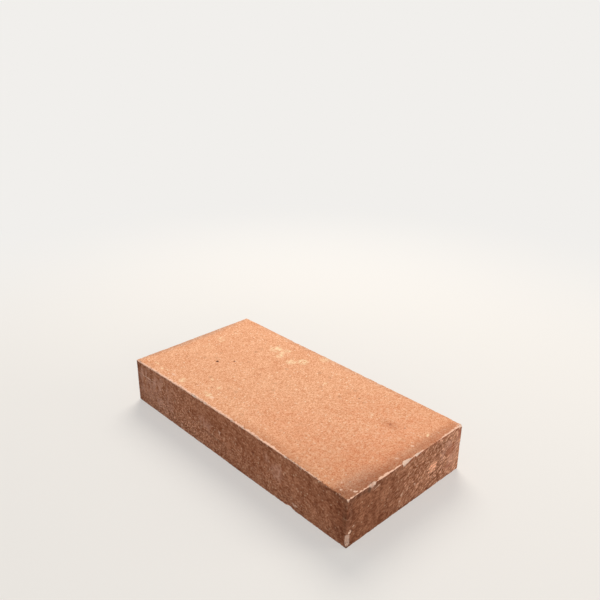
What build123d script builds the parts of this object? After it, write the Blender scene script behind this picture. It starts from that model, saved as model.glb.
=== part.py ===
from build123d import *
import os
from math import hypot
from typing import NamedTuple

# A solid fired clay paving brick, in one piece, with no frog and no perforations.
# X runs along the two long stretcher faces, Y across them to the back, and Z up.
# The origin is at the middle of the bed face that the brick lies on. Sizes are in millimetres.

length = 220.0
width = 110.0
thickness = 35.0

# The edges of a brick are its arrises. Those between a bed and a side are nearly sharp,
# and the four upright ones are a little rounder from handling.
bed_arris_radius = 0.4
upright_arris_radius = 0.6

# A flake breaks out hollow: its face sinks by this share of its own width.
flake_hollow = 0.12

# Blow holes are round pits left by gas or by a grain that fell out.
blow_hole_diameter = 2.1
blow_hole_depth = 1.0
small_blow_hole_diameter = 1.3
small_blow_hole_depth = 0.5


class Flake(NamedTuple):
    """A flake missing from an arris.

    It opens at a point on the arris, has one section at a second place and another at a third, and
    closes at a point: those are its four places along the arris. Each section has its own reach
    into the two faces beside the arris, along the plane's local Y and Z.
    """

    arris: Plane
    places: tuple
    first_reach: tuple
    second_reach: tuple


class BlowHole(NamedTuple):
    """A pit in a face, at a place in that face's own plane, whose Z points out of the brick."""

    face: Plane
    x: float
    y: float
    diameter: float
    depth: float


# Each arris has a plane of its own: local X runs along it, and local Y and Z run away from it
# into the two faces that meet there, so the clay fills the quarter where Y and Z are positive.
left_x = -length / 2
right_x = length / 2
front_y = -width / 2

# From the left corner along the front of the top. Y is down the front, Z is across the top.
front_top_arris = Plane(origin=(left_x, front_y, thickness), x_dir=(1, 0, 0), z_dir=(0, 1, 0))
# From the near corner to the back along the end. Y is down the end, Z is across the top.
end_top_arris = Plane(origin=(right_x, front_y, thickness), x_dir=(0, 1, 0), z_dir=(-1, 0, 0))
# From the foot of the near corner upwards. Y is along the end, Z is along the front.
near_upright_arris = Plane(origin=(right_x, front_y, 0), x_dir=(0, 0, 1), z_dir=(-1, 0, 0))
# From the left corner along the front of the underside. Y is across the underside, Z is up the front.
front_foot_arris = Plane(origin=(left_x, front_y, 0), x_dir=(1, 0, 0), z_dir=(0, 0, 1))

# The faces that show blow holes, each with its plane's origin at a corner.
top_face = Plane(origin=(left_x, front_y, thickness), x_dir=(1, 0, 0), z_dir=(0, 0, 1))
front_face = Plane(origin=(left_x, front_y, 0), x_dir=(1, 0, 0), z_dir=(0, -1, 0))

flakes = [
    # The end face has lost three long flakes, each steep at one end and feathered out at the other.
    Flake(end_top_arris, (17.0, 20.6, 23.2, 24.4), first_reach=(2.8, 1.3), second_reach=(2.0, 1.3)),
    Flake(end_top_arris, (48.4, 49.6, 54.6, 58.8), first_reach=(3.4, 1.6), second_reach=(1.3, 1.4)),
    Flake(end_top_arris, (60.6, 61.4, 64.0, 68.5), first_reach=(1.6, 1.2), second_reach=(0.9, 1.0)),
    # Its far corner is worn, up to the back face.
    Flake(
        end_top_arris,
        (width - 4.0, width - 2.2, width, width + 2.0),
        first_reach=(1.4, 1.2),
        second_reach=(1.7, 1.2),
    ),
    # The front has lost four small ones from its arris.
    Flake(front_top_arris, (69.6, 70.5, 73.6, 76.8), first_reach=(1.5, 0.8), second_reach=(1.2, 0.7)),
    Flake(front_top_arris, (83.4, 84.2, 85.5, 86.9), first_reach=(1.4, 0.7), second_reach=(1.6, 0.7)),
    Flake(front_top_arris, (123.6, 124.4, 125.6, 126.6), first_reach=(1.3, 0.5), second_reach=(1.3, 0.5)),
    Flake(front_top_arris, (165.0, 165.8, 167.2, 168.6), first_reach=(1.1, 0.6), second_reach=(1.2, 0.6)),
    # The near corner is broken off just above its foot, nearly square below and above.
    Flake(near_upright_arris, (1.4, 1.9, 9.0, 10.3), first_reach=(3.1, 1.2), second_reach=(2.9, 1.2)),
    Flake(front_foot_arris, (168.0, 170.5, 173.5, 176.5), first_reach=(1.2, 1.6), second_reach=(1.2, 1.6)),
]

blow_holes = [
    BlowHole(top_face, x=44.1, y=44.2, diameter=blow_hole_diameter, depth=blow_hole_depth),
    BlowHole(top_face, x=53.0, y=53.8, diameter=small_blow_hole_diameter, depth=small_blow_hole_depth),
    BlowHole(front_face, x=136.6, y=21.8, diameter=blow_hole_diameter, depth=blow_hole_depth),
    BlowHole(front_face, x=65.8, y=19.2, diameter=small_blow_hole_diameter, depth=small_blow_hole_depth),
]


def fired_block():
    """The whole brick before any damage, with its arrises eased."""
    block = Box(length, width, thickness, align=(Align.CENTER, Align.CENTER, Align.MIN))
    upright_arrises = block.edges().filter_by(Axis.Z)
    block = fillet(upright_arrises, upright_arris_radius)
    bed_arrises = block.faces().sort_by(Axis.Z)[0].edges() + block.faces().sort_by(Axis.Z)[-1].edges()
    return fillet(bed_arrises, bed_arris_radius)


def flake_section(arris, place, reach):
    """The flake's outline across its arris: two straight sides outside the clay and a hollow face."""
    across = Plane(
        origin=arris.from_local_coords((place, 0, 0)),
        x_dir=arris.y_dir,
        z_dir=arris.x_dir,
    )
    reach_y, reach_z = reach
    face_width = hypot(reach_y, reach_z)
    sink = flake_hollow * face_width
    # The hollow's middle lies inwards from the middle of the chord, square to it.
    middle = (reach_y / 2 + sink * reach_z / face_width, reach_z / 2 + sink * reach_y / face_width)
    outside = (-reach_y, -reach_z)
    outline = (
        Line(outside, (reach_y, 0))
        + ThreePointArc((reach_y, 0), middle, (0, reach_z))
        + Line((0, reach_z), outside)
    )
    return across * make_face(outline)


def flake_cutter(flake):
    """The clay that broke away, lofted from the point where it opens to the one where it closes."""
    opens, first, second, closes = flake.places
    opening_point = Vertex(flake.arris.from_local_coords((opens, 0, 0)))
    closing_point = Vertex(flake.arris.from_local_coords((closes, 0, 0)))
    first_section = flake_section(flake.arris, first, flake.first_reach)
    second_section = flake_section(flake.arris, second, flake.second_reach)
    return loft([opening_point, first_section, second_section, closing_point], ruled=True)


def blow_hole_cutter(hole):
    """A ball that leaves a round pit of the stated width and depth."""
    ball_radius = (hole.diameter**2 / 4 + hole.depth**2) / (2 * hole.depth)
    return hole.face * Pos(hole.x, hole.y, ball_radius - hole.depth) * Sphere(ball_radius)


brick = fired_block()
for flake in flakes:
    brick -= flake_cutter(flake)
for hole in blow_holes:
    brick -= blow_hole_cutter(hole)

os.makedirs("parts", exist_ok=True)
export_step(brick, "parts/brick.step")
print("brick volume in litres", round(brick.volume / 1e6, 4), "faces", len(brick.faces()))
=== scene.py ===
import math
import random

import bmesh
import bpy
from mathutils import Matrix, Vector, noise
from mathutils.bvhtree import BVHTree


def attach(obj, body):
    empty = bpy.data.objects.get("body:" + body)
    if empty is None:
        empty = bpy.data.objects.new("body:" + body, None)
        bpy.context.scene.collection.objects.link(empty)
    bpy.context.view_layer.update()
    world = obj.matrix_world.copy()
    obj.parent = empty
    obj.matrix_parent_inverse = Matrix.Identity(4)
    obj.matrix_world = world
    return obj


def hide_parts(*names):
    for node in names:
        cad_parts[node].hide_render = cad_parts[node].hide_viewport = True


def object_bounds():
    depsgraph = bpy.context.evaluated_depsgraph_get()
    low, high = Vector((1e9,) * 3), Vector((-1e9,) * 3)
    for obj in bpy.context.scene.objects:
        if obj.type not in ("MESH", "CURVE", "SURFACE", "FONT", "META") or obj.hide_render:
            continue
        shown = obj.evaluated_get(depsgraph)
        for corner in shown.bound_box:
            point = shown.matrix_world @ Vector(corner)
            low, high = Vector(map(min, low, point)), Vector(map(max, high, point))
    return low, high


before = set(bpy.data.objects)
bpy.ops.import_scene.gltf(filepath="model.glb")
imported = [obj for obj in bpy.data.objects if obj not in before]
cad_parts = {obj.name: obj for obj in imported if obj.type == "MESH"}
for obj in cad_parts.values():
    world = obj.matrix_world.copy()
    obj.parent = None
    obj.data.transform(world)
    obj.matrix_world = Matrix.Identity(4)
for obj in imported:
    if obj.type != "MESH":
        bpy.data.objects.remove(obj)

# One fired clay brick on a pale floor. Its shape is worked out in millimetres and turned to metres last.
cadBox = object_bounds()
mm = 0.001


def rgb(code):
    # an sRGB hex value as a linear colour
    shares = [int(code[i:i + 2], 16) / 255 for i in (0, 2, 4)]
    linear = [s / 12.92 if s <= 0.04045 else ((s + 0.055) / 1.055) ** 2.4 for s in shares]
    return (*linear, 1.0)


def addNode(tree, kind, inputs, **settings):
    # inputs maps a socket's name or number to a value, or to the node or the socket that feeds it
    node = tree.nodes.new(kind)
    for name, value in settings.items():
        setattr(node, name, value)
    for key, value in inputs.items():
        socket = next(s for i, s in enumerate(node.inputs) if i == key or (s.enabled and s.name == key))
        if isinstance(value, bpy.types.Node):
            value = next(s for s in value.outputs if s.enabled)
        if isinstance(value, bpy.types.NodeSocket):
            tree.links.new(value, socket)
        else:
            socket.default_value = value
    return node


def smoothStep(low, high, value):
    # 0 before low, 1 past high, and a smooth rise between them
    share = min(max((value - low) / (high - low), 0.0), 1.0)
    return share * share * (3 - 2 * share)


# The block

clayBlock = {
    "rowAtArris": 0.35,      # gap between rows of vertices beside an arris
    "rowInField": 2.2,       # the same in the middle of a face
    "rowGrowth": 1.25,
    "arrisBand": 3.4,        # how far from an arris the rows along it are halved
    "arrisEdge": 0.75,       # edges longer than this are halved there, as often as the next value says
    "arrisHalvings": 2,
    "pitBand": 1.2,          # how far beyond a pit's rim the mesh is finer, and the same two values
    "pitEdge": 0.35,
    "pitHalvings": 3,
    "unevenness": 0.12,      # depth and width of the slow hollows in every face
    "hollowWidth": 27.0,
    "lumpiness": 0.05,       # depth and width of the small ones
    "lumpWidth": 6.0,
    "fractureDepth": 0.3,    # how rough a broken place is
    "fractureGrain": 1.1,
}

# The front's upper arris is set back a little in the middle, as if the wet clay had sagged.
setBack = {
    "depth": 1.8,
    "middle": 0.0,           # where along the front it is deepest, and how far to each side it reaches
    "reach": 106.0,
    "from": 12.0,            # the height at which it starts
    "fadesOver": 30.0,       # how far over the bed it fades out
}

# The axis that each face stands across, and the end of that axis that it is at.
faceAxes = {
    "left": (0, -1), "right": (0, 1), "front": (1, -1), "back": (1, 1), "bottom": (2, -1), "top": (2, 1),
}
sideFaces = ("left", "right", "front", "back")
arrises = [(a, b) for a in faceAxes for b in faceAxes if faceAxes[a][0] < faceAxes[b][0]]


def rowPlaces(total):
    # places of the rows from one arris to the other, close together beside both
    places = [0.0]
    step = clayBlock["rowAtArris"]
    while places[-1] < total / 2:
        places.append(places[-1] + step)
        step = min(step * clayBlock["rowGrowth"], clayBlock["rowInField"])
    stretch = total / 2 / places[-1]
    half = [place * stretch for place in places]
    return half + [total - place for place in reversed(half[:-1])]


def planeDistances(point, low, high):
    # distances from a point to the six planes of the block, by face name
    return {
        name: (high[axis] - point[axis]) if side > 0 else (point[axis] - low[axis])
        for name, (axis, side) in faceAxes.items()
    }


def arrisDistance(point, low, high):
    # a point of the surface is on its nearest plane, so the next nearest plane gives the arris
    return sorted(planeDistances(point, low, high).values())[1]


def divideBlock(bm, low, high):
    for axis in range(3):
        total = high[axis] - low[axis]
        places = rowPlaces(total)
        edges = [e for e in bm.edges if abs(e.verts[0].co[axis] - e.verts[1].co[axis]) > total / 2]
        bmesh.ops.subdivide_edges(bm, edges=edges, cuts=len(places) - 2, use_grid_fill=True)
        for vert in bm.verts:
            row = round((vert.co[axis] - low[axis]) / total * (len(places) - 1))
            vert.co[axis] = low[axis] + places[row]


def middle(edge):
    return (edge.verts[0].co + edge.verts[1].co) / 2


def halveEdges(bm, times, longEdge, inReach):
    # halves the long edges whose middles are in reach
    for _ in range(times):
        edges = [e for e in bm.edges if e.calc_length() > longEdge and inReach(middle(e))]
        bmesh.ops.subdivide_edges(bm, edges=edges, cuts=1, use_grid_fill=True)


def refineBlock(bm, low, high, pits):
    def besideArris(point):
        return arrisDistance(point, low, high) < clayBlock["arrisBand"]

    halveEdges(bm, clayBlock["arrisHalvings"], clayBlock["arrisEdge"], besideArris)
    for pit in pits:
        def besidePit(point):
            return (point - Vector(pit["place"])).length < pit["width"] / 2 + clayBlock["pitBand"]

        halveEdges(bm, clayBlock["pitHalvings"], clayBlock["pitEdge"], besidePit)


def conformToSolid(bm, pits):
    # brings every vertex to the CAD solid, with its eased arrises and flakes, and leaves the pits for later
    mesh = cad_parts["brick"].data
    tree = BVHTree.FromPolygons([v.co / mm for v in mesh.vertices], [p.vertices[:] for p in mesh.polygons])
    for vert in bm.verts:
        if all((vert.co - Vector(pit["place"])).length > pit["width"] for pit in pits):
            vert.co = tree.find_nearest(vert.co)[0]


def leanFront(bm, low, high):
    for vert in bm.verts:
        along = max(0.0, 1 - ((vert.co.x - setBack["middle"]) / setBack["reach"]) ** 2)
        upwards = smoothStep(setBack["from"], high.z, vert.co.z) * smoothStep(
            low.y + setBack["fadesOver"], low.y, vert.co.y
        )
        vert.co.y += setBack["depth"] * along * upwards


# How the arrises have worn

arrisWear = {
    "band": 4.0,             # nothing further than this from an arris is worn
    "strip": 0.32,           # width of the strip worn off an arris, and how much it varies
    "fray": 0.45,
    "wave": 0.3,
    "frayed": {("front", "top"): 4.2, ("right", "top"): 1.8},    # how many times as frayed these are
    "paleFrom": (0.9, 1.5),  # widths between which a worn strip turns into a pale break
    "knock": 2.4,            # how much more is off at a knock, and the noise that makes one
    "knockFrom": (0.22, 0.6),
    "frayLength": 1.2,
    "waveLength": 4.0,
    "knockLength": 11.0,
    "knocked": {             # the share of that on each arris, and on the others
        ("front", "top"): 0.0, ("right", "top"): 0.0, ("back", "top"): 0.15, ("left", "top"): 0.15,
        ("right", "front"): 0.0, ("front", "bottom"): 0.05, ("right", "bottom"): 0.15,
    },
    "otherwise": 0.5,
}

# Radii of the solid's eased arrises, so that an eased one isn't taken for a broken one.
easedRadius = {"bed": 0.4, "upright": 0.6}

# How far fitting to the solid moves a vertex before it starts to count as broken, and before it does fully.
flakeMove = (0.12, 0.3)

# How much duller a break in an upright arris or in the foot is than one in the upper bed's arris.
brokenDull = {
    "upright": 0.5,
    "awayFromBeds": (1.0, 3.0),      # distances from a bed between which that comes in
    "foot": 0.7,
    "footHeights": (4.0, 2.0),       # heights between which that comes in
    "awayFromUprights": 6.0,         # nearer than this to an upright arris it doesn't
}


def brokenShow(distances):
    # how pale a break shows at a point with these distances from the block's planes
    bedDistance = min(distances["top"], distances["bottom"])
    uprightDistance = sorted(distances[face] for face in sideFaces)[1]
    dull = brokenDull["upright"] * smoothStep(*brokenDull["awayFromBeds"], bedDistance)
    if uprightDistance > brokenDull["awayFromUprights"]:
        dull = max(dull, brokenDull["foot"] * smoothStep(*brokenDull["footHeights"], distances["bottom"]))
    return 1 - dull


def wornWidth(point, arris):
    # the shifts keep the three patterns from lining up
    frayed = arrisWear["fray"] * arrisWear["frayed"].get(arris, 1.0)
    fray = frayed * noise.noise(point / arrisWear["frayLength"])
    wave = arrisWear["wave"] * noise.noise(point / arrisWear["waveLength"] + Vector((9.0, 0.0, 0.0)))
    knockNoise = noise.noise(point / arrisWear["knockLength"] + Vector((0.0, 7.0, 0.0)))
    knocked = smoothStep(*arrisWear["knockFrom"], knockNoise)
    share = arrisWear["knocked"].get(arris, arrisWear["otherwise"])
    return arrisWear["strip"] + fray + wave + share * arrisWear["knock"] * knocked


def easedMove(distance, upright):
    # how far easing an arris moves a point that lay this far from it on a sharp block
    radius = easedRadius["upright" if upright else "bed"]
    return math.hypot(radius, max(0.0, radius - distance)) - radius


def wearArrises(bm, low, high, brokenLayer):
    for vert in bm.verts:
        for arris in arrises:
            distances = planeDistances(vert.co, low, high)
            off = sum(distances[face] for face in arris)
            if off > arrisWear["band"]:
                continue
            width = wornWidth(vert.co, arris)
            if off < width:
                for face in arris:
                    axis, side = faceAxes[face]
                    vert.co[axis] -= side * (width - off) / 2
                broken = smoothStep(*arrisWear["paleFrom"], width) * brokenShow(distances)
                vert[brokenLayer] = max(vert[brokenLayer], broken)


def roughenFaces(bm, low, high, brokenLayer):
    # hollows of three widths, all pressed inwards so that the brick stays inside its box
    bm.normal_update()
    for vert in bm.verts:
        hollow = clayBlock["unevenness"] * (1 + noise.noise(vert.co / clayBlock["hollowWidth"]))
        lump = clayBlock["lumpiness"] * (1 + noise.noise(vert.co / clayBlock["lumpWidth"]))
        grain = 0.5 + 0.5 * noise.noise(vert.co / clayBlock["fractureGrain"])
        fracture = clayBlock["fractureDepth"] * grain
        vert.co -= vert.normal * (hollow + lump + fracture * vert[brokenLayer])
        for axis in range(3):
            vert.co[axis] = min(max(vert.co[axis], low[axis]), high[axis])


# Pits in millimetres from the middle of the lower bed. The first four are in the solid too.
# Each pit's dark is how much painted shade its hollow gets.
seenPits = [
    {"face": "top", "place": (-65.9, -10.8, 35.0), "width": 2.1, "depth": 1.0, "dark": 1.0},
    {"face": "top", "place": (-57.0, -1.2, 35.0), "width": 1.5, "depth": 0.5, "dark": 0.9},
    {"face": "front", "place": (26.6, -55.0, 21.8), "width": 2.2, "depth": 1.0, "dark": 0.6},
    {"face": "front", "place": (-44.2, -55.0, 19.2), "width": 1.5, "depth": 0.5, "dark": 0.9},
    {"face": "top", "place": (78.0, 20.0, 35.0), "width": 2.6, "depth": 0.4, "dark": 0.35},
    {"face": "top", "place": (43.0, 29.0, 35.0), "width": 1.4, "depth": 0.4, "dark": 0.4},
    {"face": "top", "place": (87.0, 24.0, 35.0), "width": 1.3, "depth": 0.4, "dark": 0.4},
    {"face": "top", "place": (-38.0, -38.0, 35.0), "width": 2.2, "depth": 0.3, "dark": 0.3},
    {"face": "top", "place": (-96.0, 30.0, 35.0), "width": 1.3, "depth": 0.3, "dark": 0.4},
]

# The faces that don't show take a few more, wherever they fall.
hiddenPits = {
    "count": {"back": 5, "left": 3, "bottom": 7},
    "width": (1.0, 2.3),
    "depthShare": 0.4,       # depth as a share of the width
    # how much painted shade each of their hollows gets
    "dark": 0.7,
    "margin": 8.0,           # how far they stay from the arrises
    "seed": 4,
}

pitRim = {
    "ragged": 0.3,           # how far the rim departs from a circle, and the waves in a millimetre of it
    "waves": 1.3,
    "steepness": 4,          # a higher power gives steeper walls and a flatter floor
    "dark": (0.75, 1.25),    # shares of the radius between which the painted shade in the pit fades
}


def scatterPits(low, high):
    draw = random.Random(hiddenPits["seed"])
    margin = hiddenPits["margin"]
    scattered = []
    for face, count in hiddenPits["count"].items():
        axis, side = faceAxes[face]
        for _ in range(count):
            place = [draw.uniform(low[i] + margin, high[i] - margin) for i in range(3)]
            place[axis] = high[axis] if side > 0 else low[axis]
            width = draw.uniform(*hiddenPits["width"])
            scattered.append({
                "face": face, "place": tuple(place), "width": width,
                "depth": width * hiddenPits["depthShare"], "dark": hiddenPits["dark"],
            })
    return scattered


def sinkPits(bm, pits, pitShadeLayer):
    for pit in pits:
        axis, side = faceAxes[pit["face"]]
        centre = Vector(pit["place"])
        for vert in bm.verts:
            away = vert.co - centre
            if away.length > pit["width"]:
                continue
            ragged = 1 + pitRim["ragged"] * noise.noise(vert.co * pitRim["waves"])
            share = away.length / (pit["width"] / 2 * ragged)
            vert.co[axis] -= side * pit["depth"] * max(0.0, 1 - share ** pitRim["steepness"])
            vert[pitShadeLayer] = max(vert[pitShadeLayer], pit["dark"] * (1 - smoothStep(*pitRim["dark"], share)))


# Pale rub along the upper arrises, partly worn clay and partly a painted highlight on the arris: places along
# each, and its width over the bed there, in millimetres.
arrisRubAndHighlight = {
    ("front", "top"): (
        (-110, 0.9), (-100, 1.5), (-40, 1.8), (0, 1.5), (48, 1.5), (56, 0.7), (85, 0.7), (90, 0.1),
        (110, 0.1),
    ),
    ("right", "top"): (
        (-55, 0.8), (-51, 1.0), (-46, 0.6), (-40, 1.0), (-37, 0.8), (-30, 0.5), (-27, 1.2), (-22, 1.5),
        (-16, 1.0), (-8, 0.8), (13, 0.8), (17, 0.2), (28, 0.3), (36, 1.0), (55, 1.3),
    ),
    ("left", "top"): ((-55, 0.3), (55, 0.3)),
    ("back", "top"): ((-110, 0.3), (110, 0.3)),
}
rubAndHighlightEdge = {
    "elsewhere": 0.15,       # its width along the other arrises
    "downSide": {"front": 0.4},      # its width down this side, as a share of that over the bed
    "otherSides": 0.35,              # and down the other sides
    "fray": 0.9,             # how much its width varies, and over what length
    "frayLength": 1.5,
    "softness": 0.25,        # the share of its width over which it fades, to each side of its edge
    "faintBelow": 0.6,       # a narrower rub and highlight is fainter
    "onFace": 0.01,          # a point nearer than this to a face's plane is on that face
}


def rubAndHighlightWidth(arris, along):
    places = arrisRubAndHighlight.get(arris, ((0, rubAndHighlightEdge["elsewhere"]),))
    for (start, wide), (end, narrow) in zip(places, places[1:]):
        if along <= end:
            return wide + (narrow - wide) * max(0.0, along - start) / (end - start)
    return places[-1][1]


def rubAndHighlightOf(sharp, low, high):
    distances = planeDistances(sharp, low, high)
    fray = 1 + rubAndHighlightEdge["fray"] * noise.noise(sharp / rubAndHighlightEdge["frayLength"])
    most = 0.0
    for arris in arrises:
        ownFace, otherFace = sorted(arris, key=lambda face: distances[face])
        if distances[ownFace] > rubAndHighlightEdge["onFace"]:
            continue
        along = sharp.y if "front" not in arris and "back" not in arris else sharp.x
        width = fray * rubAndHighlightWidth(arris, along)
        full = min(1.0, width / rubAndHighlightEdge["faintBelow"])
        if ownFace not in ("top", "bottom"):
            width *= rubAndHighlightEdge["downSide"].get(ownFace, rubAndHighlightEdge["otherSides"])
        inner, outer = width * (1 - rubAndHighlightEdge["softness"]), width * (1 + rubAndHighlightEdge["softness"])
        most = max(most, full * (1 - smoothStep(inner, outer, distances[otherFace])))
    return most


# Broad tints, smooth enough for the vertices to carry them: each kind's colour, and the pattern that breaks
# it up. Most are tints of the clay; shade and dull are mostly painted shade, and the tint that lightens low
# down is painted light.
tintKinds = {
    "sand": {"colour": "FFD8B6", "pattern": "speck", "brokenUp": 1.0},
    # shade multiplies the colour darker: mostly painted shade, deepest towards the near upper corner where
    # the light falls off; a few places only darken the clay's own tone
    "shade": {"colour": "B89D88", "pattern": "cloud", "brokenUp": 0.0, "blend": "MULTIPLY"},
    "rust": {"colour": "E0703C", "pattern": "mottle", "brokenUp": 0.3},
    # this one is painted light: it lightens low on the front and on the far part of the end, where light
    # bounced up from the floor
    "paintedLight": {"colour": "DF9E79", "pattern": "mottle", "brokenUp": 0.4},
    # dull multiplies the orange down to a greyer brown: painted shade along the far upper arrises and towards
    # the near upper corner
    "dull": {"colour": "BFCDE5", "pattern": "cloud", "brokenUp": 0.0, "blend": "MULTIPLY"},
    "haze": {"colour": "BA8E7D", "pattern": "haze", "brokenUp": 1.0},
    "stroke": {"colour": "F4BC9E", "pattern": "stroke", "brokenUp": 1.0},
}
tintEdge = {
    "wander": 2.0,           # how far a tint's outline wanders, and over what length
    "wanderLength": 5.0,
    "fade": (0.4, 1.3),      # shares of its half sizes between which it fades
}

# kind, place and half sizes in millimetres, strength
tints = [
    ("rust", (120.0, 10.0, 37.0), (95.0, 70.0, 4.0), 0.22),
    # Painted shade: the brick darkens towards its near upper corner, over the top, the front and the end.
    ("shade", (112.0, -58.0, 22.0), (70.0, 60.0, 45.0), 0.26),
    ("shade", (111.0, -56.0, 17.0), (4.0, 70.0, 40.0), 0.55),
    ("shade", (102.0, -55.0, 35.0), (12.0, 7.0, 2.5), 0.8),
    ("shade", (98.0, -55.0, 28.0), (26.0, 3.0, 16.0), 0.4),
    ("stroke", (110.0, 45.0, 16.0), (2.0, 60.0, 30.0), 0.5),
    ("stroke", (-60.0, -55.0, 16.0), (45.0, 2.0, 18.0), 0.28),
    ("shade", (111.0, -30.0, 35.0), (11.0, 50.0, 2.5), 0.75),
    ("shade", (111.0, 10.0, 35.0), (9.0, 60.0, 2.5), 0.5),
    ("shade", (78.0, 20.0, 36.0), (8.0, 5.0, 5.0), 0.35),
    ("shade", (112.0, -22.0, 35.0), (20.0, 62.0, 2.5), 0.3),
    ("shade", (55.0, -55.0, 35.0), (60.0, 9.0, 2.5), 0.38),
    # Painted shade down the front's near end.
    ("shade", (105.0, -55.0, 19.0), (10.0, 3.0, 26.0), 0.7),
    ("shade", (-109.0, -55.0, 17.0), (5.0, 3.0, 24.0), 0.65),
    ("shade", (110.0, -41.0, 21.0), (3.0, 9.0, 16.0), 0.6),
    ("shade", (110.0, 0.0, 0.0), (4.0, 62.0, 3.5), 0.5),
    ("shade", (110.0, 31.0, 18.0), (4.0, 13.0, 22.0), 0.45),
    # Dulled painted shade: by the end's upper arris towards the near corner, along the left and back upper
    # arrises, and on the end beside the near upright arris.
    ("dull", (107.0, -42.0, 36.0), (14.0, 28.0, 5.0), 0.5),
    ("dull", (107.0, 0.0, 36.0), (7.0, 62.0, 5.0), 0.3),
    ("dull", (-110.0, 0.0, 36.0), (5.0, 64.0, 5.0), 0.5),
    ("dull", (0.0, 56.0, 36.0), (114.0, 5.0, 5.0), 0.25),
    ("dull", (113.0, -54.0, 17.0), (4.0, 6.0, 24.0), 0.4),
    ("rust", (50.0, -28.0, 37.0), (60.0, 34.0, 5.0), 0.15),
    ("rust", (0.0, -57.0, 17.0), (130.0, 5.0, 30.0), 0.06),
    ("shade", (0.0, -57.0, 17.0), (130.0, 5.0, 30.0), 0.12),
    ("rust", (90.0, 0.0, 37.0), (30.0, 64.0, 5.0), 0.24),
    ("sand", (74.0, -5.0, 36.0), (44.0, 66.0, 5.0), 0.3),
    ("sand", (10.0, -20.0, 36.0), (60.0, 40.0, 5.0), 0.12),
    ("stroke", (30.0, -55.0, 8.0), (90.0, 2.0, 14.0), 0.22),
    ("stroke", (-50.0, -55.0, 6.0), (62.0, 2.0, 14.0), 0.5),
    # Painted light, low on the front.
    ("paintedLight", (83.0, -55.0, 7.0), (9.0, 2.0, 9.0), 0.2),
    ("haze", (-25.0, -55.0, 18.0), (10.0, 1.5, 6.0), 0.4),
    # Painted light, low on the far part of the end.
    ("paintedLight", (110.0, 50.0, 10.0), (3.0, 14.0, 16.0), 0.15),
    ("haze", (-88.0, -55.0, 17.0), (26.0, 2.0, 18.0), 0.5),
    ("haze", (-96.5, -55.0, 27.6), (4.0, 1.5, 6.0), 0.45),
    ("haze", (-76.5, -55.0, 9.5), (5.0, 1.5, 6.0), 0.6),
    ("haze", (-71.2, -55.0, 25.3), (2.0, 1.5, 4.0), 0.5),
    ("haze", (-18.3, -55.0, 18.2), (3.5, 1.5, 4.0), 0.35),
    ("haze", (110.0, 45.0, 17.0), (2.0, 12.0, 16.0), 0.35),
]


def tintOf(kind, sharp):
    ragged = sharp + tintEdge["wander"] * noise.noise_vector(sharp / tintEdge["wanderLength"])
    most = 0.0
    for tintKind, centre, halfSizes, strength in tints:
        if tintKind == kind:
            reach = math.hypot(*((ragged[i] - centre[i]) / halfSizes[i] for i in range(3)))
            most = max(most, strength * (1 - smoothStep(*tintEdge["fade"], reach)))
    return most


# Where the sandy bed meets the drawn sides: how far the line wanders, over what length, and its softness.
bedEdge = {"wander": 0.5, "wanderLength": 1.5, "softness": 0.3}


def markVertices(bm, sharpPlaces, low, high, layers):
    # what each vertex shows of the clay, going by the place that it had on the sharp block
    for vert, sharp in zip(bm.verts, sharpPlaces):
        distances = planeDistances(sharp, low, high)
        bedDistance = min(distances["top"], distances["bottom"])
        sideDistance = min(distances[face] for face in sideFaces)
        wander = bedEdge["wander"] * noise.noise(sharp / bedEdge["wanderLength"])
        towardsBed = sideDistance - bedDistance + wander
        vert[layers["bed"]] = smoothStep(-bedEdge["softness"], bedEdge["softness"], towardsBed)
        vert[layers["rubAndHighlight"]] = rubAndHighlightOf(sharp, low, high)
        for kind in tintKinds:
            vert[layers[kind]] = tintOf(kind, sharp)
        upright = bedDistance > clayBlock["arrisBand"]
        moved = (vert.co - sharp).length - easedMove(arrisDistance(sharp, low, high), upright)
        vert[layers["broken"]] = smoothStep(*flakeMove, moved) * brokenShow(distances)


def makeBrick():
    low, high = (Vector(corner) / mm for corner in cadBox)
    pits = seenPits + scatterPits(low, high)
    bm = bmesh.new()
    bmesh.ops.create_cube(bm, size=1)
    bmesh.ops.scale(bm, vec=high - low, verts=bm.verts)
    bmesh.ops.translate(bm, vec=(low + high) / 2, verts=bm.verts)
    divideBlock(bm, low, high)
    refineBlock(bm, low, high, pits)
    print("block divided:", len(bm.faces), "faces")

    layerNames = ("bed", "rubAndHighlight", "broken", "pit", *tintKinds)
    for name in layerNames:
        bm.verts.layers.float.new(name)
    layers = {name: bm.verts.layers.float[name] for name in layerNames}
    sharpPlaces = [vert.co.copy() for vert in bm.verts]
    conformToSolid(bm, pits)
    markVertices(bm, sharpPlaces, low, high, layers)
    print("block fitted to the solid")

    wearArrises(bm, low, high, layers["broken"])
    sinkPits(bm, pits, layers["pit"])
    roughenFaces(bm, low, high, layers["broken"])
    leanFront(bm, low, high)
    print("arrises worn and pits sunk")

    bmesh.ops.scale(bm, vec=(mm, mm, mm), verts=bm.verts)
    for face in bm.faces:
        face.smooth = True
    bmesh.ops.recalc_face_normals(bm, faces=bm.faces)
    mesh = bpy.data.meshes.new("firedBrick")
    bm.to_mesh(mesh)
    bm.free()
    brick = bpy.data.objects.new("fired_brick", mesh)
    bpy.context.scene.collection.objects.link(brick)
    return brick


# The fired clay

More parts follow.
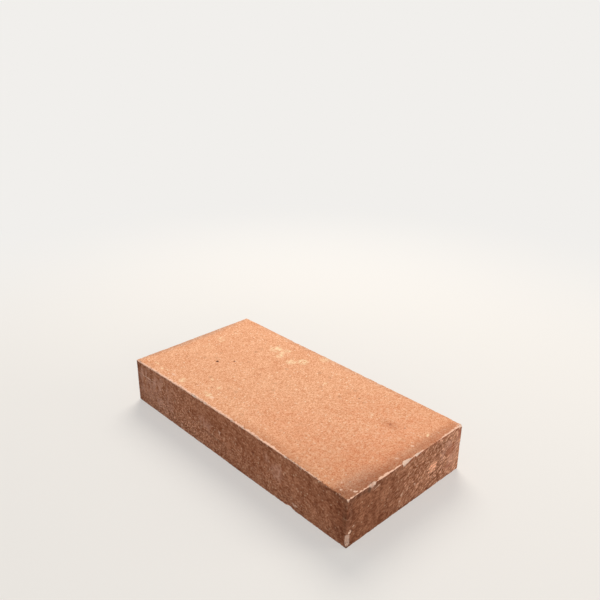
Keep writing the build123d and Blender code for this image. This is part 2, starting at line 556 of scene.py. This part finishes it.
terracotta = {
    # each surface's darkest and palest colour, the tone between them, and how far each pattern moves it
    "bed": {"dark": "D5885B", "light": "FFCAA4", "middle": 0.52, "tones": {
        "bedSand": 0.85, "bedGrain": 0.34, "clump": 0.12, "mottle": 0.16, "cloud": 0.1,
    }},
    # The sides are darker than the beds partly as the drawn clay's own colour and partly as painted shade on
    # the same clay.
    "side": {"dark": "7E4729", "light": "D79F7F", "middle": 0.48, "tones": {
        "sideSand": 0.5, "sideGrain": 0.33, "clump": 0.16, "mottle": 0.2, "haze": 0.14,
    }},
    # pale worn clay along the arrises, partly a painted highlight
    "rubAndHighlight": "FFD1B8",
    "broken": "FFE2D0",
    # the colour of the painted shade in the pits
    "pit": "662606",
    # how far the grain frays the rub and highlight, the breaks and the pits' painted shade, and the values
    # between which they come in
    "wornGrain": 0.5,
    "wornFade": (0.5, 0.9),
    # pale and dark grains in the sand: one in a cell of this size, and its radius as a share of that
    "grits": (
        {"colour": "FFE0C2", "cell": 3.0, "radius": 0.26, "cover": 1.0, "few": 0.45},
        {"colour": "FFDABC", "cell": 1.9, "radius": 0.28, "cover": 0.7, "few": 0.6},
        {"colour": "8A5638", "cell": 7.0, "radius": 0.3, "cover": 0.22, "few": 0.55},
    ),
    "gritCore": 0.4,                 # the share of a grain's radius that has its full colour
    "gritSpread": 0.25,              # a cell's random value goes from no grain to a full one over this
    "gritOnSides": 0.45,             # how much of it shows on the sides
    "roughness": (0.84, 0.96),
    "specular": 0.25,                # dry porous clay has hardly any gloss
    "relief": {"bedSand": 0.6, "bedGrain": 1.0, "clump": 0.6},      # how much each pattern stands out
    "reliefDepth": 0.06,
}

# The sand's real grains are about 0.3 mm. The finest patterns here are coarser, so that they show at all.
# The sides were drawn a little along the brick, and their haze ran down as the mould was lifted off.
# Output 1 of a Voronoi texture is a random value for each cell.
alongSides = {"turn": (16.0, 11.0, 0.0), "stretch": (1.6, 1.6, 1.0)}
clayPatterns = {
    "bedSand": {"texture": "ShaderNodeTexVoronoi", "output": 1, "size": 0.6, "low": 0.2, "high": 0.8},
    "bedGrain": {"texture": "ShaderNodeTexNoise", "size": 0.9, "low": 0.3, "high": 0.7},
    "sideSand": {
        "texture": "ShaderNodeTexVoronoi", "output": 1, "size": 0.9, "low": 0.35, "high": 0.95, **alongSides,
    },
    "sideGrain": {"texture": "ShaderNodeTexNoise", "size": 1.6, "low": 0.4, "high": 0.8, **alongSides},
    "clump": {"texture": "ShaderNodeTexNoise", "size": 2.8, "low": 0.3, "high": 0.7},
    "mottle": {"texture": "ShaderNodeTexNoise", "size": 9.0, "low": 0.3, "high": 0.7},
    "cloud": {"texture": "ShaderNodeTexNoise", "size": 42.0, "low": 0.35, "high": 0.65},
    "haze": {
        "texture": "ShaderNodeTexNoise", "size": 3.5, "low": 0.4, "high": 0.7, "stretch": (1.0, 1.0, 3.5),
    },
    "speck": {"texture": "ShaderNodeTexVoronoi", "output": 1, "size": 1.1, "low": 0.62, "high": 0.85},
    "scrape": {
        "texture": "ShaderNodeTexNoise", "size": 0.9, "low": 0.42, "high": 0.62, "turn": (0.0, 0.0, -13.0),
        "stretch": (1.0, 2.6, 1.0),
    },
    "stroke": {
        "texture": "ShaderNodeTexNoise", "size": 0.9, "low": 0.53, "high": 0.68, "turn": (30.0, 0.0, 0.0),
        "stretch": (1.2, 3.0, 1.0),
    },
}

# Marks that lie over the worn arrises too: what each kind looks like, and the pattern that breaks it up.
markKinds = {
    "lime": {"colour": "FFE0B8", "pattern": "scrape", "brokenUp": 1.0},
    "dust": {"colour": "CF9F8B", "pattern": "sideGrain", "brokenUp": 0.7},
    "pale": {"colour": "FFDCC6", "pattern": "sideSand", "brokenUp": 0.3},
    "orange": {"colour": "FFBE9C", "pattern": "sideSand", "brokenUp": 0.7},
    "red": {"colour": "984F3D", "pattern": "sideGrain", "brokenUp": 0.4},
    # dark is mostly painted shadow: in notches and under the chipped arrises, and down the near upright arris
    "dark": {"colour": "4E3220", "pattern": "sideSand", "brokenUp": 0.2},
}

markEdge = {
    "wander": 3.0,           # how far a mark's outline wanders, and over what length
    "wanderLength": 2.4,
    "fade": (1.3, 0.4),      # shares of its size between which it comes in
}

# kind, place and radius or half sizes in millimetres, strength, and turn about the axes in degrees
marks = [
    ("lime", (-50.0, 36.0, 35.0), 5.2, 0.6),
    ("lime", (-42.0, 37.5, 35.0), (2.5, 6.0, 2.0), 0.75, (0, 0, -13)),
    ("lime", (-40.0, 30.0, 35.0), 3.5, 0.6),
    ("lime", (-27.0, 29.5, 35.0), 4.2, 0.65),
    ("lime", (-21.0, 36.5, 35.0), 4.5, 0.7),
    ("lime", (-12.0, 51.0, 35.0), 3.7, 0.5),
    ("lime", (-90.0, 12.5, 35.0), 2.3, 0.7),
    ("lime", (-94.0, 15.0, 35.0), 3.5, 0.3),
    ("lime", (-90.0, -1.0, 35.0), (5.0, 2.0, 2.0), 0.3, (0, 0, -30)),
    ("lime", (-94.9, -46.0, 35.0), (2.6, 1.0, 2.0), 0.75),
    ("lime", (-86.6, -47.3, 35.0), (2.6, 0.9, 2.0), 0.75, (0, 0, -15)),
    ("lime", (-80.6, -45.9, 35.0), (2.4, 1.0, 2.0), 0.85, (0, 0, 10)),
    ("pale", (-71.6, -46.3, 35.0), (3.2, 1.0, 2.0), 0.6),
    ("lime", (-60.4, -46.5, 35.0), 3.2, 0.5),
    ("pale", (-47.4, -42.6, 35.0), 1.0, 0.6),
    ("lime", (-46.8, -29.8, 35.0), 1.5, 0.6),
    ("lime", (-33.9, -34.0, 35.0), 2.6, 0.45),
    ("lime", (-32.0, -45.0, 35.0), (5.5, 2.2, 2.0), 0.5),
    ("pale", (-27.1, -45.1, 35.0), (2.0, 0.9, 2.0), 0.6, (0, 0, 10)),
    ("pale", (-20.7, -38.2, 35.0), 1.0, 0.5),
    ("pale", (-17.6, -45.2, 35.0), 0.8, 0.5),
    ("lime", (13.0, 26.5, 35.0), 1.6, 0.8),
    ("lime", (101.4, 28.4, 35.0), (1.0, 2.6, 2.0), 0.9, (0, 0, 25)),
    ("pale", (102.3, 11.9, 35.0), 1.2, 0.8),
    ("pale", (104.2, -5.1, 35.0), 1.0, 0.7),
    ("pale", (96.8, -46.1, 35.0), 0.8, 0.6),
    ("pale", (100.6, -50.5, 35.0), 0.9, 0.85),
    ("pale", (104.9, -46.8, 35.0), 0.8, 0.8),
    ("pale", (107.5, -46.0, 35.0), 1.0, 0.85),
    ("pale", (109.6, -54.6, 34.6), 0.9, 0.8),
    # Painted shade down the near upright arris, and painted shadow in the chip at its foot.
    ("dark", (107.8, -55.0, 22.0), (1.8, 2.0, 13.0), 0.3),
    ("dark", (110.0, -54.8, 0.8), 1.6, 0.6),
    ("pale", (-97.0, -55.0, 24.6), (12.0, 1.5, 0.55), 0.5, (0, 2, 0)),
    ("dust", (-103.0, -55.0, 28.0), 2.7, 0.6),
    ("dust", (-84.0, -55.0, 26.0), 4.2, 0.5),
    ("dust", (-103.0, -55.0, 14.0), (3.0, 1.5, 6.0), 0.5),
    ("dust", (-80.0, -55.0, 10.0), 4.5, 0.6),
    ("dust", (-66.0, -55.0, 11.0), 3.5, 0.5),
    ("dust", (50.0, -55.0, 20.0), 6.1, 0.65),
    ("dust", (40.0, -55.0, 25.0), 3.5, 0.35),
    ("dust", (-22.0, -55.0, 18.0), (6.0, 1.5, 2.0), 0.4, (0, -20, 0)),
    ("pale", (-53.0, -55.0, 3.5), 1.7, 0.35),
    ("pale", (-26.0, -55.0, 22.3), 1.2, 0.5),
    ("pale", (-8.0, -55.0, 19.5), 1.2, 0.7),
    ("pale", (63.6, -55.0, 32.7), 0.9, 0.7),
    ("pale", (67.0, -55.0, 4.6), (2.6, 1.5, 0.7), 0.5),
    ("dark", (-14.0, -55.0, 13.0), (12.0, 1.5, 0.9), 0.35, (0, 3, 0)),
    # Painted shadow under the overhanging arris between two chips, and in a nick in the arris.
    ("dark", (-29.0, -54.5, 33.3), (2.6, 1.6, 1.0), 0.7),
    ("dark", (15.2, -54.0, 33.9), 1.1, 0.8),
    ("orange", (110.0, 26.2, 16.6), 4.3, 1.3),
    ("red", (110.0, 44.0, 20.0), 4.9, 0.35),
    ("red", (110.0, 43.0, 8.0), (1.5, 5.0, 2.5), 0.35),
    ("red", (110.0, 52.6, 30.0), (1.5, 2.4, 4.0), 0.6),
    ("dust", (110.0, 41.0, 26.0), 3.5, 0.7),
    ("dust", (110.0, 45.0, 13.0), (1.5, 2.5, 5.0), 0.8, (-25, 0, 0)),
    ("dust", (110.0, 50.0, 20.0), (1.5, 3.0, 8.0), 0.55, (-10, 0, 0)),
    ("dust", (110.0, 36.0, 21.0), (1.5, 1.5, 5.0), 0.55, (-25, 0, 0)),
    ("pale", (110.0, 7.3, 12.7), 0.9, 0.6),
    ("pale", (110.0, -5.2, 11.5), (1.5, 0.7, 1.7), 0.5, (-20, 0, 0)),
    ("pale", (110.0, -7.2, 7.2), 1.1, 0.5),
    ("pale", (110.0, -52.3, 10.9), 1.1, 0.9),
    ("pale", (110.0, -49.6, 13.5), 0.7, 0.7),
    ("pale", (110.0, -30.0, 30.7), (1.5, 3.0, 0.5), 0.55, (16, 0, 0)),
    ("dust", (109.6, -34.0, 34.0), 3.2, 0.6),
    # Painted shadow in the notches under the chipped end arris.
    ("dark", (110.0, -36.5, 32.0), 2.1, 0.75),
    ("dark", (110.0, -30.2, 32.4), (1.5, 2.4, 0.7), 0.6, (18, 0, 0)),
    ("pale", (109.0, 52.6, 34.4), (2.5, 2.4, 1.4), 0.8),
]


def weighTones(tree, patterns, weights, middle):
    # one tone about the middle value, from the patterns and how much each may change it
    tone = middle - sum(weights.values()) / 2
    for name, weight in weights.items():
        tone = addNode(tree, "ShaderNodeMath", {
            0: patterns[name], 1: weight, 2: tone,
        }, operation="MULTIPLY_ADD")
    return tone


def layOver(tree, colour, cover, look, patterns):
    # lays a mark's colour over the clay where cover is 1, broken up by the kind's pattern
    sifted = addNode(tree, "ShaderNodeMapRange", {
        "Value": patterns[look["pattern"]], "To Min": 1 - look["brokenUp"], "To Max": 1 + look["brokenUp"],
    })
    cover = addNode(tree, "ShaderNodeMath", {0: cover, 1: sifted}, operation="MULTIPLY", use_clamp=True)
    return addNode(tree, "ShaderNodeMix", {
        "Factor": cover, "A": colour, "B": rgb(look["colour"]),
    }, data_type="RGBA", blend_type=look.get("blend", "MIX"))


def addMarks(tree, colour, place, patterns):
    wander = addNode(tree, "ShaderNodeTexNoise", {
        "Vector": place, "Scale": 1 / (markEdge["wanderLength"] * mm), "Detail": 2.0,
    })
    centred = addNode(tree, "ShaderNodeVectorMath", {
        0: wander.outputs["Color"], 1: (0.5, 0.5, 0.5),
    }, operation="SUBTRACT")
    ragged = addNode(tree, "ShaderNodeVectorMath", {
        0: centred, 1: [markEdge["wander"] * mm] * 3, 2: place,
    }, operation="MULTIPLY_ADD")
    fadeFrom, fadeTo = markEdge["fade"]
    for kind, look in markKinds.items():
        cover = 0.0
        for markKind, centre, size, strength, *turn in marks:
            if markKind != kind:
                continue
            centre = [value * mm for value in centre]
            if isinstance(size, float):
                edge = size * mm
                reach = addNode(tree, "ShaderNodeVectorMath", {0: ragged, 1: centre}, operation="DISTANCE")
            else:
                edge = 1.0
                angles = turn[0] if turn else (0, 0, 0)
                local = addNode(tree, "ShaderNodeMapping", {
                    "Vector": ragged, "Location": centre, "Scale": [value * mm for value in size],
                    "Rotation": [math.radians(angle) for angle in angles],
                }, vector_type="TEXTURE")
                reach = addNode(tree, "ShaderNodeVectorMath", {0: local}, operation="LENGTH")
            share = addNode(tree, "ShaderNodeMapRange", {
                "Value": reach.outputs["Value"], "From Min": fadeFrom * edge, "From Max": fadeTo * edge,
                "To Max": strength,
            }, interpolation_type="SMOOTHSTEP")
            cover = addNode(tree, "ShaderNodeMath", {0: cover, 1: share}, operation="MAXIMUM")
        colour = layOver(tree, colour, cover, look, patterns)
    return colour


def makeTerracotta():
    # fired terracotta, pressed in a sanded mould: sandy beds, sides drawn and dustier, all of it matt
    clay = bpy.data.materials.new("firedTerracotta")
    clay.use_nodes = True
    tree = clay.node_tree
    shader = tree.nodes["Principled BSDF"]
    place = addNode(tree, "ShaderNodeTexCoord", {}).outputs["Object"]
    patterns = {}
    for name, look in clayPatterns.items():
        local = addNode(tree, "ShaderNodeMapping", {
            "Vector": place,
            "Rotation": [math.radians(angle) for angle in look.get("turn", (0.0, 0.0, 0.0))],
            "Scale": [look["size"] * mm * stretch for stretch in look.get("stretch", (1.0, 1.0, 1.0))],
        }, vector_type="TEXTURE")
        speckle = addNode(tree, look["texture"], {"Vector": local, "Scale": 1.0})
        patterns[name] = addNode(tree, "ShaderNodeMapRange", {
            "Value": speckle.outputs[look.get("output", 0)],
            "From Min": look["low"], "From Max": look["high"],
        })

    surfaces = []
    for look in (terracotta["side"], terracotta["bed"]):
        tone = weighTones(tree, patterns, look["tones"], look["middle"])
        surfaces.append(addNode(tree, "ShaderNodeMix", {
            "Factor": tone, "A": rgb(look["dark"]), "B": rgb(look["light"]),
        }, data_type="RGBA"))
    onBed = addNode(tree, "ShaderNodeAttribute", {}, attribute_name="bed").outputs["Fac"]
    colour = addNode(tree, "ShaderNodeMix", {
        "Factor": onBed, "A": surfaces[0], "B": surfaces[1],
    }, data_type="RGBA")

    gritShare = addNode(tree, "ShaderNodeMapRange", {"Value": onBed, "To Min": terracotta["gritOnSides"]})
    for grit in terracotta["grits"]:
        cells = addNode(tree, "ShaderNodeTexVoronoi", {"Vector": place, "Scale": 1 / (grit["cell"] * mm)})
        near = addNode(tree, "ShaderNodeMapRange", {
            "Value": cells.outputs["Distance"], "From Min": grit["radius"],
            "From Max": grit["radius"] * terracotta["gritCore"],
        })
        chosen = addNode(tree, "ShaderNodeMapRange", {
            "Value": cells.outputs["Color"], "From Min": grit["few"],
            "From Max": grit["few"] + terracotta["gritSpread"], "To Max": grit["cover"],
        })
        cover = addNode(tree, "ShaderNodeMath", {0: near, 1: chosen}, operation="MULTIPLY")
        cover = addNode(tree, "ShaderNodeMath", {0: cover, 1: gritShare}, operation="MULTIPLY")
        colour = addNode(tree, "ShaderNodeMix", {
            "Factor": cover, "A": colour, "B": rgb(grit["colour"]),
        }, data_type="RGBA")
    for kind, look in tintKinds.items():
        cover = addNode(tree, "ShaderNodeAttribute", {}, attribute_name=kind).outputs["Fac"]
        colour = layOver(tree, colour, cover, look, patterns)

    wornFrom, wornTo = terracotta["wornFade"]
    for layer in ("rubAndHighlight", "broken", "pit"):
        worn = addNode(tree, "ShaderNodeAttribute", {}, attribute_name=layer).outputs["Fac"]
        frayed = addNode(tree, "ShaderNodeMath", {
            0: patterns["bedGrain"], 1: terracotta["wornGrain"], 2: worn,
        }, operation="MULTIPLY_ADD")
        cover = addNode(tree, "ShaderNodeMapRange", {
            "Value": frayed, "From Min": wornFrom, "From Max": wornTo,
        })
        cover = addNode(tree, "ShaderNodeMath", {0: cover, 1: worn}, operation="MINIMUM")
        colour = addNode(tree, "ShaderNodeMix", {
            "Factor": cover, "A": colour, "B": rgb(terracotta[layer]),
        }, data_type="RGBA")
    colour = addMarks(tree, colour, place, patterns)
    tree.links.new(colour.outputs[2], shader.inputs["Base Color"])

    height = weighTones(tree, patterns, terracotta["relief"], 0.5)
    bump = addNode(tree, "ShaderNodeBump", {
        "Height": height, "Strength": 1.0, "Distance": terracotta["reliefDepth"] * mm,
    })
    tree.links.new(bump.outputs["Normal"], shader.inputs["Normal"])
    smooth, rough = terracotta["roughness"]
    finish = addNode(tree, "ShaderNodeMapRange", {
        "Value": patterns["clump"], "To Min": smooth, "To Max": rough,
    })
    tree.links.new(finish.outputs["Result"], shader.inputs["Roughness"])
    shader.inputs["Specular IOR Level"].default_value = terracotta["specular"]
    return clay


brick = makeBrick()
brick.data.materials.append(makeTerracotta())
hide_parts("brick")
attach(brick, "root")
print("brick made:", len(brick.data.polygons), "faces")


# The studio

studio = {
    "floorColour": "F0EEEB",
    "floorReach": 8.0,           # metres from the brick to the floor's edge
    "floorRoughness": 0.9,
    "floorSpecular": 0.2,
    "backdropColour": "F1EFEC",
    "fadeFrom": 0.22,            # between these metres from the brick, what the camera sees of the floor
    "fadeTo": 0.60,              # turns to the backdrop's colour
    "lift": 0.5,                 # and how much of it shows already beside the brick
    "skyStrength": 0.35,
}

lamps = [
    {"name": "key", "place": (-0.50, 0.55, 0.85), "size": 0.7, "power": 9.8, "colour": "FFF6EA"},
    {"name": "fill", "place": (0.6, 0.5, 0.3), "size": 0.4, "power": 1.3, "colour": "FFF1E0"},
    {"name": "front", "place": (0.65, -0.49, 0.16), "size": 0.5, "power": 1.75, "colour": "FFF6EA"},
]


def seenShare(tree):
    # 1 for what is seen directly, in a gloss or through glass, and 0 for light that falls on the brick
    path = addNode(tree, "ShaderNodeLightPath", {})
    glossy = addNode(tree, "ShaderNodeMath", {
        0: path.outputs["Is Camera Ray"], 1: path.outputs["Is Glossy Ray"],
    }, operation="MAXIMUM")
    return addNode(tree, "ShaderNodeMath", {
        0: glossy, 1: path.outputs["Is Transmission Ray"],
    }, operation="MAXIMUM")


def makeFloor():
    bm = bmesh.new()
    bmesh.ops.create_grid(bm, x_segments=1, y_segments=1, size=studio["floorReach"])
    mesh = bpy.data.meshes.new("floor")
    bm.to_mesh(mesh)
    bm.free()
    floor = bpy.data.objects.new("floor", mesh)
    bpy.context.scene.collection.objects.link(floor)
    # matt studio paper, which fades into the backdrop so that no far edge shows
    paper = bpy.data.materials.new("paleStudioPaper")
    paper.use_nodes = True
    tree = paper.node_tree
    shader = tree.nodes["Principled BSDF"]
    shader.inputs["Base Color"].default_value = rgb(studio["floorColour"])
    shader.inputs["Roughness"].default_value = studio["floorRoughness"]
    shader.inputs["Specular IOR Level"].default_value = studio["floorSpecular"]
    place = addNode(tree, "ShaderNodeTexCoord", {}).outputs["Object"]
    away = addNode(tree, "ShaderNodeVectorMath", {0: place}, operation="LENGTH").outputs["Value"]
    far = addNode(tree, "ShaderNodeMapRange", {
        "Value": away, "From Min": studio["fadeFrom"], "From Max": studio["fadeTo"], "To Min": studio["lift"],
    }, interpolation_type="SMOOTHSTEP")
    share = addNode(tree, "ShaderNodeMath", {0: far, 1: seenShare(tree)}, operation="MULTIPLY")
    backdrop = addNode(tree, "ShaderNodeEmission", {"Color": rgb(studio["backdropColour"]), "Strength": 1.0})
    blended = addNode(tree, "ShaderNodeMixShader", {0: share, 1: shader.outputs[0], 2: backdrop})
    tree.links.new(blended.outputs[0], tree.nodes["Material Output"].inputs["Surface"])
    mesh.materials.append(paper)


def makeSky():
    world = bpy.data.worlds.new("studioSky")
    world.use_nodes = True
    tree = world.node_tree
    light = tree.nodes["Background"]
    light.inputs["Color"].default_value = rgb("FFFFFF")
    light.inputs["Strength"].default_value = studio["skyStrength"]
    seen = addNode(tree, "ShaderNodeBackground", {"Color": rgb(studio["backdropColour"]), "Strength": 1.0})
    choice = addNode(tree, "ShaderNodeMixShader", {0: seenShare(tree), 1: light, 2: seen})
    tree.links.new(choice.outputs[0], tree.nodes["World Output"].inputs["Surface"])
    bpy.context.scene.world = world


def makeLamps():
    for lamp in lamps:
        data = bpy.data.lights.new(lamp["name"], "AREA")
        data.shape = "DISK"
        data.size = lamp["size"]
        data.energy = lamp["power"]
        data.color = rgb(lamp["colour"])[:3]
        thing = bpy.data.objects.new(lamp["name"], data)
        thing.location = lamp["place"]
        thing.rotation_mode = "QUATERNION"
        thing.rotation_quaternion = (-Vector(lamp["place"])).to_track_quat("-Z", "Y")
        bpy.context.scene.collection.objects.link(thing)


viewpoint = {
    "place": (0.3131, -0.2894, 0.2928),
    "azimuth": 47.38,        # degrees round from the front, and how far the camera looks down
    "elevation": 23.86,
    "lens": 41.84,
    "sensor": 36.0,
    "shift": 0.025,
    "reach": (0.01, 100.0),  # the nearest and the furthest that it sees, in metres
}


def makeCamera():
    data = bpy.data.cameras.new("camera")
    data.lens = viewpoint["lens"]
    data.sensor_width = viewpoint["sensor"]
    data.shift_x = viewpoint["shift"]
    data.clip_start, data.clip_end = viewpoint["reach"]
    camera = bpy.data.objects.new("camera", data)
    turn, tilt = math.radians(viewpoint["azimuth"]), math.radians(viewpoint["elevation"])
    back = Vector((math.sin(turn) * math.cos(tilt), -math.cos(turn) * math.cos(tilt), math.sin(tilt)))
    camera.location = viewpoint["place"]
    camera.rotation_mode = "QUATERNION"
    camera.rotation_quaternion = (-back).to_track_quat("-Z", "Y")
    bpy.context.scene.collection.objects.link(camera)
    bpy.context.scene.camera = camera


makeFloor()
makeSky()
makeLamps()
makeCamera()
bpy.context.scene.view_settings.view_transform = "Standard"
print("studio ready")
